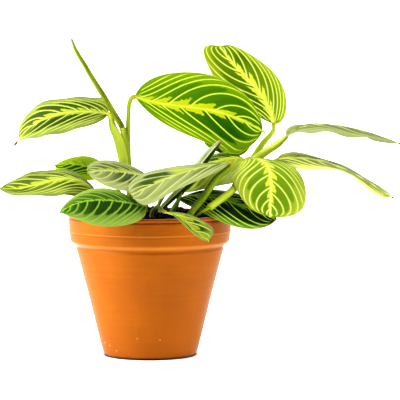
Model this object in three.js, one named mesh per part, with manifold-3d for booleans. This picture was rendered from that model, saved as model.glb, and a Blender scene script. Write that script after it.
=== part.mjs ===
// A prayer plant (Maranta leuconeura) in a standard 13 cm clay pot, in millimetres, +Z up.
// Places are written from the middle of the foot of the pot, with -Y the front of the plant.
// In the end the whole plant moves sideways, so that its origin is the middle of its footprint.
//
// The pot is thrown with a collar rim and one drain hole. It is filled with heaped soil.
// Each shoot or single leaf stalk stands in its own hole in the soil and carries its blades
// a hair's breadth above the end of the stalk. A blade is a thin waved sheet folded at the rib.
import * as THREE from 'three';
import { mergeVertices } from 'three/addons/utils/BufferGeometryUtils.js';
import Module from 'manifold-3d';

const wasm = await Module();
wasm.setup();

// ---- driving dimensions -------------------------------------------------------------------
const POT_HEIGHT = 112.6;
const RIM_RADIUS = 65;
const RIM_DEPTH = 21.2;
const FOOT_RADIUS = 37.3;
const NECK_RADIUS = 55.9;
const WALL = 5.3;
const FLOOR = 6.5;
const DRAIN_RADIUS = 6;
const POT_SEGMENTS = 56;

const CLEARANCE = 0.3;
const SOIL_EDGE_HEIGHT = 108.5;
const SOIL_HEAP = 6;
const SOIL_SECTORS = 36;
const SOIL_RINGS = 7;
const ROOT_DEPTH = 92;

const BLADE_THICKNESS = 0.8;
const BLADE_ROWS = 14;
const BLADE_COLUMNS = 8;
const BLUNT_END = 1.1;
const STALK_SIDES = 8;
const JOINT_LENGTH = 2.5;
const JOINT_GAP = 0.4;
const WELD_DISTANCE = 1e-4;

const COLOURS = {
  clay: 0xc8702a,
  soil: 0x2b1f17,
  leafBright: 0x7fb02a,
  leafMid: 0x6a9a2c,
  leafPale: 0xa9bd84,
  leafDark: 0x2f5a1c,
  stalk: 0x8fb233,
  stalkOlive: 0x7d8a33,
};

// ---- small vector helpers -----------------------------------------------------------------
const vec = (p) => new THREE.Vector3(...p);

/** How much each of count evenly spaced stations weighs at t, on the curve through them all. */
function stationWeights(count, t) {
  const last = count - 1;
  return Array.from({ length: count }, (_, i) => {
    let weight = 1;
    for (let j = 0; j <= last; j += 1) {
      if (j !== i) weight *= (t * last - j) / (i - j);
    }
    return weight;
  });
}

/** The point at t of the curve that passes through the given points at equal steps. */
function through(points, t) {
  const weights = stationWeights(points.length, t);
  return points.reduce(
    (sum, point, i) => sum.addScaledVector(vec(point), weights[i]),
    new THREE.Vector3(),
  );
}

/** A value at t: a plain number, or a list of values from base to tip at equal steps. */
function atPlace(value, t) {
  if (!Array.isArray(value)) return value;
  const weights = stationWeights(value.length, t);
  return value.reduce((sum, one, i) => sum + one * weights[i], 0);
}

const blend = (from, to, t) => from + (to - from) * t;

/** A closed BufferGeometry from rings of points, stitched in order, with its faces outward. */
function closedGeometry(positions, triangles) {
  const volume = triangles.reduce((sum, [a, b, c]) => {
    const cross = new THREE.Vector3().crossVectors(positions[b], positions[c]);
    return sum + positions[a].dot(cross);
  }, 0);
  const index = triangles.flatMap(([a, b, c]) => (volume > 0 ? [a, b, c] : [a, c, b]));
  const geometry = new THREE.BufferGeometry();
  const flat = positions.flatMap((p) => [p.x, p.y, p.z]);
  geometry.setAttribute('position', new THREE.Float32BufferAttribute(flat, 3));
  geometry.setIndex(index);
  return geometry;
}

/** Quads between two loops of vertex numbers of the same length. */
function band(lower, upper) {
  return lower.flatMap((a, i) => {
    const next = (i + 1) % lower.length;
    return [[a, lower[next], upper[next]], [a, upper[next], upper[i]]];
  });
}

// ---- joining and cutting ------------------------------------------------------------------
/** The geometry with nothing but its positions, so that vertices alike can be merged. */
function bareGeometry(geometry) {
  geometry.deleteAttribute('normal');
  geometry.deleteAttribute('uv');
  return geometry;
}

function toSolid(geometry) {
  const merged = mergeVertices(bareGeometry(geometry.clone()), WELD_DISTANCE);
  return new wasm.Manifold(new wasm.Mesh({
    numProp: 3,
    vertProperties: new Float32Array(merged.attributes.position.array),
    triVerts: new Uint32Array(merged.index.array),
  }));
}

function toGeometry(solid) {
  const mesh = solid.getMesh();
  const geometry = new THREE.BufferGeometry();
  geometry.setAttribute('position', new THREE.BufferAttribute(mesh.vertProperties, 3));
  geometry.setIndex(new THREE.BufferAttribute(mesh.triVerts, 1));
  return geometry;
}

const fuse = (geometries) => toGeometry(geometries.map(toSolid).reduce((all, one) => all.add(one)));

const cut = (geometry, tools) => toGeometry(
  tools.map(toSolid).reduce((rest, tool) => rest.subtract(tool), toSolid(geometry)),
);

// ---- the pot ------------------------------------------------------------------------------
const RIM_BOTTOM = POT_HEIGHT - RIM_DEPTH;
const NECK_HEIGHT = RIM_BOTTOM - 4.7;
const LEDGE_RADIUS = NECK_RADIUS + 0.7 - WALL;
const INNER_RIM_RADIUS = RIM_RADIUS - WALL;
const INNER_FOOT_RADIUS = FOOT_RADIUS - 1.8;

/** The section of the clay, from the edge of the drain hole round the outside and back inside. */
function potSection() {
  const outside = [
    [DRAIN_RADIUS, 0], [FOOT_RADIUS - 3.2, 0], [FOOT_RADIUS - 0.9, 0.8], [FOOT_RADIUS, 2.6],
    [FOOT_RADIUS + 0.5, 4.2], [FOOT_RADIUS + 2.3, 10.3],
    [NECK_RADIUS + 0.5, NECK_HEIGHT - 3.2], [NECK_RADIUS + 0.8, NECK_HEIGHT - 1.8],
    [NECK_RADIUS, NECK_HEIGHT],
  ];
  const collar = [
    [RIM_RADIUS - 3.6, RIM_BOTTOM - 1.8], [RIM_RADIUS - 1.8, RIM_BOTTOM + 0.2],
    [RIM_RADIUS - 1.1, POT_HEIGHT - 14.4], [RIM_RADIUS - 0.4, POT_HEIGHT - 13.5],
    [RIM_RADIUS - 0.8, POT_HEIGHT - 12.6], [RIM_RADIUS - 0.2, POT_HEIGHT - 5],
    [RIM_RADIUS - 0.9, POT_HEIGHT - 4.2], [RIM_RADIUS - 0.3, POT_HEIGHT - 3.4],
    [RIM_RADIUS, POT_HEIGHT - 1.2], [RIM_RADIUS - 0.9, POT_HEIGHT],
  ];
  const inside = [
    [INNER_RIM_RADIUS + 0.9, POT_HEIGHT], [INNER_RIM_RADIUS, POT_HEIGHT - 0.9],
    [INNER_RIM_RADIUS - 1.2, RIM_BOTTOM + 4], [LEDGE_RADIUS, NECK_HEIGHT - 2],
    [INNER_FOOT_RADIUS, FLOOR + 5], [INNER_FOOT_RADIUS - 3, FLOOR], [DRAIN_RADIUS, FLOOR],
  ];
  return [...outside, ...collar, ...inside];
}

/** A closed section turned round the Z axis. */
function turned(section, segments) {
  const loop = [...section, section[0]].map(([radius, height]) => new THREE.Vector2(radius, height));
  const lathe = new THREE.LatheGeometry(loop, segments);
  lathe.rotateX(Math.PI / 2);
  const points = mergeVertices(bareGeometry(lathe), WELD_DISTANCE);
  const position = points.attributes.position;
  const vertices = Array.from({ length: position.count }, (_, i) => (
    new THREE.Vector3().fromBufferAttribute(position, i)
  ));
  const index = Array.from(points.index.array);
  const triangles = [];
  for (let i = 0; i < index.length; i += 3) {
    const triangle = index.slice(i, i + 3);
    if (new Set(triangle).size === 3) triangles.push(triangle);
  }
  return closedGeometry(vertices, triangles);
}

// ---- the soil -----------------------------------------------------------------------------
/** Height of the heaped, crumbly surface at a polar place; the edge is level. */
function soilHeight(share, angle) {
  const heap = SOIL_HEAP * (1 - share ** 2.4);
  const crumbs = 0.7 * Math.sin(5 * angle + 9 * share) + 0.5 * Math.sin(11 * angle - 14 * share + 1);
  return SOIL_EDGE_HEIGHT + heap + crumbs * Math.min(1, 4 * (1 - share)) * Math.min(1, 3 * share);
}

const innerRadiusAt = (height) => blend(
  INNER_RIM_RADIUS - 1.2,
  INNER_RIM_RADIUS,
  (height - RIM_BOTTOM - 4) / (RIM_DEPTH - 4.9),
);

function soilBody() {
  const topRadius = innerRadiusAt(SOIL_EDGE_HEIGHT) - CLEARANCE;
  const wall = [
    [INNER_RIM_RADIUS - 1.2 - CLEARANCE, RIM_BOTTOM + 4 - CLEARANCE],
    [LEDGE_RADIUS - CLEARANCE, NECK_HEIGHT - 2 - CLEARANCE],
    [INNER_FOOT_RADIUS - CLEARANCE, FLOOR + 5],
    [INNER_FOOT_RADIUS - 3 - CLEARANCE, FLOOR + CLEARANCE],
  ];
  const positions = [];
  const ring = (radiusAt, heightAt) => Array.from({ length: SOIL_SECTORS }, (_, i) => {
    const angle = (2 * Math.PI * i) / SOIL_SECTORS;
    const radius = radiusAt(angle);
    positions.push(new THREE.Vector3(
      radius * Math.cos(angle),
      radius * Math.sin(angle),
      heightAt(angle),
    ));
    return positions.length - 1;
  });
  const rings = [];
  for (let i = 1; i <= SOIL_RINGS; i += 1) {
    const share = i / SOIL_RINGS;
    rings.push(ring(() => topRadius * share, (angle) => soilHeight(share, angle)));
  }
  wall.forEach(([radius, height]) => rings.push(ring(() => radius, () => height)));
  positions.push(new THREE.Vector3(0, 0, soilHeight(0, 0)));
  const top = positions.length - 1;
  positions.push(new THREE.Vector3(0, 0, FLOOR + CLEARANCE));
  const bottom = positions.length - 1;
  const triangles = rings.slice(1).flatMap((upper, i) => band(rings[i], upper));
  const fan = (loop, centre, flip) => loop.map((a, i) => {
    const b = loop[(i + 1) % loop.length];
    return flip ? [centre, b, a] : [centre, a, b];
  });
  triangles.push(...fan(rings[0], top, true), ...fan(rings.at(-1), bottom, false));
  return closedGeometry(positions, triangles);
}

/** A plain round hole in the soil for one root stub. */
function rootHole([x, y], radius) {
  const height = 1.5 * (POT_HEIGHT - ROOT_DEPTH);
  const hole = new THREE.CylinderGeometry(radius + CLEARANCE, radius + CLEARANCE, height, STALK_SIDES);
  hole.rotateX(Math.PI / 2);
  hole.translate(x, y, ROOT_DEPTH - CLEARANCE + height / 2);
  return hole;
}

// ---- stalks -------------------------------------------------------------------------------
/** A round or flattened stalk through the points, its radius going evenly through the radii. */
function stalk({ path, radii, flat = 1, steps }) {
  const curve = new THREE.CatmullRomCurve3(path.map(vec), false, 'centripetal');
  const count = steps ?? Math.max(4, (path.length - 1) * 3);
  const frames = curve.computeFrenetFrames(count, false);
  const positions = [];
  const rings = [];
  for (let i = 0; i <= count; i += 1) {
    const centre = curve.getPointAt(i / count);
    const place = (i / count) * (radii.length - 1);
    const from = Math.min(Math.floor(place), radii.length - 2);
    const radius = blend(radii[from], radii[from + 1], place - from);
    rings.push(Array.from({ length: STALK_SIDES }, (_, k) => {
      const angle = (2 * Math.PI * (k + 0.5)) / STALK_SIDES;
      positions.push(centre.clone()
        .addScaledVector(frames.normals[i], radius * flat * Math.cos(angle))
        .addScaledVector(frames.binormals[i], radius * Math.sin(angle)));
      return positions.length - 1;
    }));
  }
  const triangles = rings.slice(1).flatMap((upper, i) => band(rings[i], upper));
  positions.push(vec(path[0]), vec(path.at(-1)));
  const [start, end] = [positions.length - 2, positions.length - 1];
  rings[0].forEach((a, i) => triangles.push([start, rings[0][(i + 1) % STALK_SIDES], a]));
  rings.at(-1).forEach((a, i) => triangles.push([end, a, rings.at(-1)[(i + 1) % STALK_SIDES]]));
  return closedGeometry(positions, triangles);
}

// ---- blades -------------------------------------------------------------------------------
const SIDE = { fold: 0, curl: -10, lean: 0, share: 1 };

/** Width of the blade along the rib, from 0 at the base through 1 at the widest to 0 at the tip. */
function outline(t, { widest = 0.5, baseRound = 0.5, tipRound = 0.62 }) {
  if (t < widest) return (1 - (1 - t / widest) ** 2) ** baseRound;
  return Math.max(0, 1 - ((t - widest) / (1 - widest)) ** 2) ** tipRound;
}

/** Position and upward normal on a blade: t from base to tip, w from -1 (right) to 1 (left). */
function bladePoint(leaf, t, w) {
  const step = 1e-3;
  const ahead = through(leaf.rib, Math.min(1, t + step));
  const tangent = ahead.sub(through(leaf.rib, Math.max(0, t - step))).normalize();
  const face = through(leaf.face, t);
  face.addScaledVector(tangent, -face.dot(tangent)).normalize();
  const leftward = new THREE.Vector3().crossVectors(face, tangent);
  const side = { ...SIDE, ...(w > 0 ? leaf.left : leaf.right) };
  const reach = Math.abs(w);
  const half = Math.max(BLUNT_END, (leaf.width / 2) * outline(t, leaf) * side.share);
  const fold = THREE.MathUtils.degToRad(atPlace(side.fold, t));
  const curl = THREE.MathUtils.degToRad(atPlace(side.curl, t)) || 1e-4;
  const across = (Math.sin(fold + curl * reach) - Math.sin(fold)) / curl;
  const [swell, cycles, phase] = leaf.wave ?? [0, 3, 0];
  const ripple = swell * Math.sin(2 * Math.PI * cycles * t + phase + 1.3 * Math.sign(w))
    * reach ** 2.5 * Math.min(1, 4 * Math.min(t, 1 - t));
  const rise = ((Math.cos(fold) - Math.cos(fold + curl * reach)) / curl) * half + ripple;
  const point = through(leaf.rib, t)
    .addScaledVector(leftward, Math.sign(w) * across * half)
    .addScaledVector(face, rise)
    .addScaledVector(tangent, atPlace(side.lean, t) * half * reach);
  const slope = fold + curl * reach;
  const normal = face.clone().multiplyScalar(Math.cos(slope))
    .addScaledVector(leftward, -Math.sign(w) * Math.sin(slope));
  return { point, normal, tangent };
}

/** A blade as one closed sheet: an upper and a lower grid alike, stitched round the edge. */
function blade(leaf) {
  const positions = [];
  const grids = [1, -1].map((face) => {
    const rows = [];
    for (let i = 0; i <= BLADE_ROWS; i += 1) {
      const t = 0.5 - 0.5 * Math.cos((Math.PI * i) / BLADE_ROWS);
      rows.push(Array.from({ length: BLADE_COLUMNS + 1 }, (_, j) => {
        const { point, normal } = bladePoint(leaf, t, (2 * j) / BLADE_COLUMNS - 1);
        positions.push(point.addScaledVector(normal, (face * BLADE_THICKNESS) / 2));
        return positions.length - 1;
      }));
    }
    return rows;
  });
  const triangles = [];
  grids.forEach((rows, lower) => {
    for (let i = 0; i < BLADE_ROWS; i += 1) {
      for (let j = 0; j < BLADE_COLUMNS; j += 1) {
        const [a, b, c, d] = [rows[i][j], rows[i][j + 1], rows[i + 1][j + 1], rows[i + 1][j]];
        triangles.push(...(lower ? [[a, c, b], [a, d, c]] : [[a, b, c], [a, c, d]]));
      }
    }
  });
  const [upperRim, lowerRim] = grids.map((rows) => [
    ...rows[0],
    ...rows.slice(1, -1).map((row) => row.at(-1)),
    ...rows.at(-1).toReversed(),
    ...rows.slice(1, -1).map((row) => row[0]).toReversed(),
  ]);
  triangles.push(...band(lowerRim, upperRim));
  return closedGeometry(positions, triangles);
}

/** The last stretch of a stalk, straight into the base of its blade with a small gap. */
function jointInto(leaf) {
  const { tangent } = bladePoint(leaf, 0, 0.01);
  const base = vec(leaf.rib[0]);
  return [JOINT_LENGTH, JOINT_GAP].map((back) => base.clone().addScaledVector(tangent, -back).toArray());
}

// Each blade: its rib from base to tip, the way its upper side faces at base, middle and tip,
// its width, and for each half (left and right seen from the stalk) the fold at the rib and the
// further curl to the margin in degrees, how far the half leans to the tip, and its share.
const LEAVES = {
  high_left: {
    colour: 'leafMid',
    rib: [[-34, 14, 190], [-58, 17, 192], [-83, 22, 188], [-106, 27, 171]],
    face: [[0.2, -0.6, 1], [0, -0.6, 1], [-0.5, -0.35, 0.9]],
    width: 50,
    left: { fold: [0, 12], curl: -12, lean: 0.1, share: 1.05 },
    right: { fold: [2, 12] },
    wave: [1.2, 3, 2.15],
    baseRound: 0.42,
    tipRound: 0.55,
  },
  big_top: {
    colour: 'leafBright',
    rib: [[-12, 8, 205], [21, 15, 198], [53, 22, 193], [90, 30, 177]],
    face: [[0, -0.9, 0.5], [0, -0.9, 0.5], [0.2, -0.9, 0.3]],
    width: 59,
    left: { curl: -12, lean: -0.15, share: 1.08 },
    right: { curl: -10, lean: [0.9, 0.35] },
    widest: 0.55,
    baseRound: 0.62,
  },
  back_mid: {
    colour: 'leafDark',
    rib: [[60, 30, 158], [62, 34, 171], [63, 38, 186], [66, 40, 197]],
    face: [[0, -0.9, 0.3], [0, -0.9, 0.3], [0, -0.9, 0.3]],
    width: 40,
    widest: 0.35,
    baseRound: 0.45,
  },
  top_right: {
    colour: 'leafBright',
    rib: [[100, 50, 182], [90, 58, 206], [73, 67, 225], [56.5, 76, 245.5]],
    face: [[0.5, -0.9, 0], [0.3, -0.9, 0.1], [0, -0.8, 0.4]],
    width: 51,
    left: { fold: [28, 16], curl: 10, lean: [0.25, 0.62], share: 1.02 },
    right: { fold: -10, curl: -20, share: 0.97 },
    tipRound: 0.5,
  },
  far_right: {
    colour: 'leafPale',
    rib: [[109, 14, 173], [132, 8, 183], [162, 2, 180], [196, -6, 168]],
    face: [[0, 0, 1], [0, 0, 1], [0.3, 0, 1]],
    width: 40,
    left: { fold: [14, -25] },
    right: { fold: -4, curl: -12 },
    wave: [1.2, 3, 0],
    baseRound: 0.26,
  },
  low_right: {
    colour: 'leafPale',
    rib: [[101.5, 10, 155], [133, 0, 155], [160, -10, 145], [190, -20, 126]],
    face: [[0, -0.45, 1], [0.2, -0.1, 1], [0.5, -0.1, 1]],
    width: 40,
    left: { fold: [0, -10, -6], curl: 0 },
    right: { fold: [-20, -8, 10, -25], lean: -0.25, share: 0.9 },
    wave: [0.8, 2, 0],
    baseRound: 0.36,
  },
  front_right: {
    colour: 'leafBright',
    rib: [[79, 0, 156], [93, -22, 151], [95, -36, 134], [94, -42, 113]],
    face: [[-0.1, -0.5, 1], [0, -0.9, 0.4], [0, -1, -0.1]],
    width: 60,
    left: { fold: [-25, 0], curl: -20, lean: 0.25, share: 0.95 },
    right: { fold: [22, 0], curl: -20, lean: [-0.05, -0.25], share: 1.04 },
    widest: 0.5,
    baseRound: 0.45,
    tipRound: 0.5,
  },
  mid_right: {
    colour: 'leafDark',
    rib: [[76, 12, 155], [65, 8, 156], [47, 3, 150], [29, 0, 132]],
    face: [[0, -0.6, 1], [0, -0.6, 1], [-0.6, -0.6, 0.6]],
    width: 48,
    left: { fold: -25, curl: -20 },
    right: { fold: -15 },
    baseRound: 0.7,
  },
  centre: {
    colour: 'leafPale',
    rib: [[63, -20, 154], [37, -31, 150], [12, -43, 142], [-13, -55, 131]],
    face: [[0, -0.3, 1], [-0.1, -0.4, 1], [-0.2, -0.55, 1]],
    width: 46,
    left: { fold: [10, -8] },
    right: { fold: [-20, -6], curl: -6 },
    widest: 0.6,
    baseRound: 0.6,
    tipRound: 0.52,
  },
  pale_left: {
    colour: 'leafPale',
    rib: [[-1, -9, 142], [-15, -15, 146], [-32, -22, 148], [-48, -28, 147]],
    face: [[0, -0.3, 1], [0, -0.4, 1], [0, -0.5, 1]],
    width: 46,
    left: { lean: 0.1 },
    right: { fold: 5, share: 0.93 },
    widest: 0.44,
    baseRound: 0.45,
  },
  far_left: {
    colour: 'leafMid',
    rib: [[-42, -10, 129], [-66, -6, 140], [-92, -2, 134], [-119, 4, 132]],
    face: [[0.2, -0.5, 1], [0, -0.45, 1], [-0.1, -0.2, 1]],
    width: 44,
    left: { fold: [-20, 14], curl: 0, lean: 0.1 },
    right: { fold: [-30, 28], lean: -0.1 },
    wave: [0.8, 2.5, 3.1],
    widest: 0.54,
    tipRound: 0.55,
  },
  back_left: {
    colour: 'leafBright',
    rib: [[-34, 30, 143], [-51, 32, 148], [-63, 35, 150], [-76, 39, 149]],
    face: [[0, -0.5, 1], [0, -0.5, 1], [0, -0.5, 1]],
    width: 42,
    left: { fold: 5, curl: -20 },
    right: { fold: -5 },
  },
  rim_left: {
    colour: 'leafMid',
    rib: [[-3, -50, 122], [-23, -66, 127], [-44, -76, 127], [-64, -84, 119]],
    face: [[0, -0.6, 1], [0, -0.6, 1], [-0.3, -0.6, 1]],
    width: 48,
    left: { fold: [-10, -20], curl: -22 },
    right: { fold: [8, -22] },
    baseRound: 0.55,
  },
  rim_front: {
    colour: 'leafMid',
    rib: [[13, -60, 118], [25, -72, 114], [35, -78, 106], [46, -80, 98]],
    face: [[0.3, -0.6, 0.8], [0.3, -0.7, 0.7], [0.4, -0.8, 0.5]],
    width: 27,
    left: { lean: 0.45, share: 1.1 },
    right: { fold: 32, curl: 0, lean: 0.1, share: 0.8 },
    widest: 0.6,
    baseRound: 0.7,
  },
  rim_right: {
    colour: 'leafDark',
    rib: [[30, -18, 125], [50, -23, 127], [75, -27, 120], [99, -31, 110]],
    face: [[0, -0.3, 1], [0, -0.45, 1], [0.2, -0.5, 1]],
    width: 56,
    left: { fold: -18 },
    right: { fold: -4, curl: -15, lean: 0.15, share: 0.9 },
    baseRound: 0.6,
  },
};

// ---- shoots -------------------------------------------------------------------------------
// Each shoot stands on one root stub (place and radius) and carries its stalks. A stalk goes
// through its points and, where it names a leaf, on into the joint below that blade.
const SHOOTS = {
  shoot_left: {
    root: [-16, 12],
    stub: 2.6,
    stalks: [
      { path: [[-16, 12, 117], [-17, 12, 131], [-18, 12, 155], [-22, 11, 180]], radii: [2.6, 2.3, 2] },
      {
        path: [[-16.5, 13, 141], [-17.5, 13, 167], [-18, 12, 188], [-17.2, 10.5, 198]],
        radii: [1.5, 0.9],
        leaf: 'big_top',
      },
      { path: [[-19, 11, 146], [-24.5, 10, 164], [-30, 11, 181]], radii: [2, 1.6, 1], leaf: 'high_left' },
    ],
  },
  stalk_pale_left: {
    root: [-1, -8],
    stub: 1.2,
    stalks: [
      { path: [[-1, -8, 117], [-1, -8, 126], [1, -8, 136]], radii: [1.2, 0.9], leaf: 'pale_left' },
    ],
  },
  shoot_low_left: {
    root: [-19, -16],
    stub: 2.2,
    stalks: [
      { path: [[-19, -16, 117], [-29, -14, 121]], radii: [2, 1.1], leaf: 'far_left' },
      { path: [[-19, -16, 117], [-24, 4, 127], [-29, 22, 137]], radii: [2, 1.1], leaf: 'back_left' },
      { path: [[-19, -16, 117], [-7, -36, 119]], radii: [2, 1.1], leaf: 'rim_left' },
    ],
  },
  stalk_rim_front: {
    root: [2, -36],
    stub: 1.5,
    stalks: [
      {
        path: [[2, -36, 114], [3.5, -41, 118], [7, -49, 121.5]],
        radii: [1.5, 1.1],
        leaf: 'rim_front',
      },
    ],
  },
  shoot_centre: {
    root: [31, -43],
    stub: 2.1,
    stalks: [
      {
        path: [[31, -43, 112], [42, -36, 127], [53, -27, 142]],
        radii: [2.1, 1.8, 1.2],
        leaf: 'centre',
      },
    ],
  },
  shoot_front_right: {
    root: [36, -40],
    stub: 1.4,
    stalks: [
      { path: [[36, -40, 112], [48, -45, 121]], radii: [1.3, 1.2] },
      {
        path: [[47, -44.6, 120.3], [66, -30, 134], [76, -6, 147], [76.5, 1, 154]],
        radii: [2.2, 2, 1.2],
        leaf: 'front_right',
      },
      { path: [[68, -28, 135], [88, 11, 142], [96, 11.5, 149]], radii: [1.5, 1], leaf: 'low_right' },
      { path: [[68, -28, 135], [82, 6, 143], [82, 12, 150]], radii: [1.5, 1], leaf: 'mid_right' },
    ],
  },
  shoot_right: {
    root: [52, 10],
    stub: 2.5,
    stalks: [
      {
        path: [[52, 10, 112], [57, 14, 119], [65, 20, 129], [74, 26, 144], [82, 28, 154]],
        radii: [2.5, 2.6, 2.4],
      },
      { path: [[80, 28, 151], [90, 34, 167], [98, 40, 176]], radii: [1.9, 1], leaf: 'top_right' },
      { path: [[80, 27, 151], [93, 22, 162], [101, 17, 168]], radii: [2.8, 2.6, 1], leaf: 'far_right' },
      { path: [[72, 25, 140], [64, 29, 148]], radii: [1.4, 1], leaf: 'back_mid' },
    ],
  },
  stalk_rim_right: {
    root: [21, -6],
    stub: 1.5,
    stalks: [
      { path: [[21, -6, 116], [22, -9, 121]], radii: [1.5, 1.1], leaf: 'rim_right' },
    ],
  },
};

/** A root stub straight down in its hole, up to where the stalks begin. */
const rootStub = ({ root: [x, y], stub, stalks: [{ path }] }) => stalk({
  path: [[x, y, ROOT_DEPTH], [x, y, blend(ROOT_DEPTH, path[0][2], 0.5)], [x, y, path[0][2] + 1]],
  radii: [stub, stub],
  steps: 2,
});

function shootBody(shoot) {
  const limbs = shoot.stalks.map(({ path, radii, leaf }) => stalk({
    path: leaf ? [...path, ...jointInto(LEAVES[leaf])] : path,
    radii,
  }));
  return fuse([rootStub(shoot), ...limbs]);
}

// ---- stubs and rolled leaves ----------------------------------------------------------------
const STUBS = {
  old_stub: {
    root: [6, -14],
    stub: 1.7,
    path: [[6, -14, 116], [8, -14, 122], [13, -14, 130]],
    radii: [1.7, 1.5],
  },
  old_sheath: {
    root: [18, -29],
    stub: 2.6,
    path: [[18, -29, 115], [21, -30, 121], [26, -32, 131]],
    radii: [2.6, 2.3, 0.5],
  },
};

const HIGH_SPIKE = {
  path: [[-22.3, 11, 180.7], [-28.8, 8, 192], [-35.4, 5, 204], [-54.5, 0, 233], [-62, 0, 251]],
  radii: [1.2, 1.25, 1.2, 1, 0.35],
  flat: 0.9,
  steps: 14,
};

const LOW_ROLL = {
  root: [9, -20],
  stub: 1.6,
  path: [[9, -20, 116], [16, -17, 124], [30, -9, 138], [40, -3, 155], [56, 0, 170]],
  radii: [1.6, 2.8, 3.4, 3, 1],
  flat: 0.62,
  steps: 14,
};

// ---- assembly -----------------------------------------------------------------------------
const plant = new THREE.Group();

function place(name, geometry, colour, roughness) {
  const material = new THREE.MeshStandardMaterial({ color: COLOURS[colour], roughness, metalness: 0 });
  const mesh = new THREE.Mesh(geometry, material);
  mesh.name = name;
  plant.add(mesh);
}

const standing = [...Object.values(SHOOTS), ...Object.values(STUBS), LOW_ROLL];
const holes = standing.map(({ root, stub }) => rootHole(root, stub));

place('pot', turned(potSection(), POT_SEGMENTS), 'clay', 0.85);
place('soil', cut(soilBody(), holes), 'soil', 1);
Object.entries(SHOOTS).forEach(([name, shoot]) => place(name, shootBody(shoot), 'stalk', 0.5));
Object.entries(STUBS).forEach(([name, { root, stub, path, radii }]) => {
  const body = fuse([rootStub({ root, stub, stalks: [{ path }] }), stalk({ path, radii })]);
  place(name, body, 'stalkOlive', 0.6);
});
place('rolled_leaf_high', stalk(HIGH_SPIKE), 'stalk', 0.5);
place('rolled_leaf_low', fuse([
  rootStub({ ...LOW_ROLL, stalks: [LOW_ROLL] }),
  stalk(LOW_ROLL),
]), 'leafPale', 0.5);
Object.entries(LEAVES).forEach(([name, leaf]) => place(`leaf_${name}`, blade(leaf), leaf.colour, 0.45));

const footprint = new THREE.Box3().setFromObject(plant).getCenter(new THREE.Vector3());
plant.position.set(-footprint.x, -footprint.y, 0);

export default plant;
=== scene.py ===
import math

import bpy
import numpy as np
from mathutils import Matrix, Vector


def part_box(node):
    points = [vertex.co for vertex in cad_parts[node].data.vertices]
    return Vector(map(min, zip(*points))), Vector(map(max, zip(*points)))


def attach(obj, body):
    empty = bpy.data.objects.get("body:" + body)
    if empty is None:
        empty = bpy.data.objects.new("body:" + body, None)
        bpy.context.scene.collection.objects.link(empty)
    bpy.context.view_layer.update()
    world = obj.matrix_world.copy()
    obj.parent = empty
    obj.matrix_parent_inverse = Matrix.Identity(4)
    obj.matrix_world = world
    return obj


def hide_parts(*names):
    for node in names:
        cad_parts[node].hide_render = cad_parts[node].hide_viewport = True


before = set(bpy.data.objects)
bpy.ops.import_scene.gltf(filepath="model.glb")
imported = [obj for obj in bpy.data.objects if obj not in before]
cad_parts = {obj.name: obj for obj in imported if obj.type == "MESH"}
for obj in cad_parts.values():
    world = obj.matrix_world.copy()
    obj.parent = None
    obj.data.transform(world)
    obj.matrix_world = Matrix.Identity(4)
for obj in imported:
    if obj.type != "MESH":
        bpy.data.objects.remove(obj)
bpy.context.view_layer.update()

# ---- camera and room ----
# The plant stands on a plain pale table that runs up into a pale wall. The camera looks
# level with the leaves, a little down on the soil, from far off with a long lens.
pot_low, pot_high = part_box("pot")
POT_AXIS = np.array([(pot_low.x + pot_high.x) / 2, (pot_low.y + pot_high.y) / 2, 0.0])
MM = 0.001


def from_pot(places):
    """Places in millimetres from the middle of the foot of the pot, in metres in the frame."""
    return np.asarray(places, float) * MM + POT_AXIS


def turned_to(thing, aim):
    """The turn that points a camera or a lamp at a place given in millimetres."""
    way = Vector(from_pot(aim)) - thing.location
    return way.to_track_quat("-Z", "Y").to_euler()


MIDDLE_X = 39.75
camera = bpy.data.objects.new("camera", bpy.data.cameras.new("camera"))
camera.data.lens = 189.5
camera.data.sensor_width = 36.0
camera.data.clip_end = 20.0
camera.location = Vector(from_pot((MIDDLE_X, -1670.0, 237.7)))
camera.rotation_euler = turned_to(camera, (MIDDLE_X, 0.0, 123.2))
bpy.context.collection.objects.link(camera)
scene = bpy.context.scene
scene.camera = camera
scene.view_settings.view_transform = "Standard"
scene.view_settings.look = "High Contrast"


def add_lamp(name, place, aim, size, power, colour):
    """A square soft box, its place, aim and side in millimetres."""
    lamp = bpy.data.objects.new(name, bpy.data.lights.new(name, "AREA"))
    lamp.data.shape = "SQUARE"
    lamp.data.size = size * MM
    lamp.data.energy = power
    lamp.data.color = colour
    lamp.location = Vector(from_pot(place))
    lamp.rotation_euler = turned_to(lamp, aim)
    bpy.context.collection.objects.link(lamp)


WHITE = (1.0, 1.0, 1.0)
add_lamp("left soft box", (-1350, -380, 620), (0, 0, 120), 900, 33.0, WHITE)
add_lamp("right soft box", (1250, -150, 500), (0, 0, 120), 800, 11.0, WHITE)
add_lamp("top soft box", (80, -330, 1500), (30, 0, 100), 1100, 11.0, WHITE)

world = bpy.data.worlds.new("pale room")
world.use_nodes = True
sky = world.node_tree.nodes["Background"]
sky.inputs["Color"].default_value = (1, 1, 1, 1)
sky.inputs["Strength"].default_value = 0.06
scene.world = world


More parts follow.
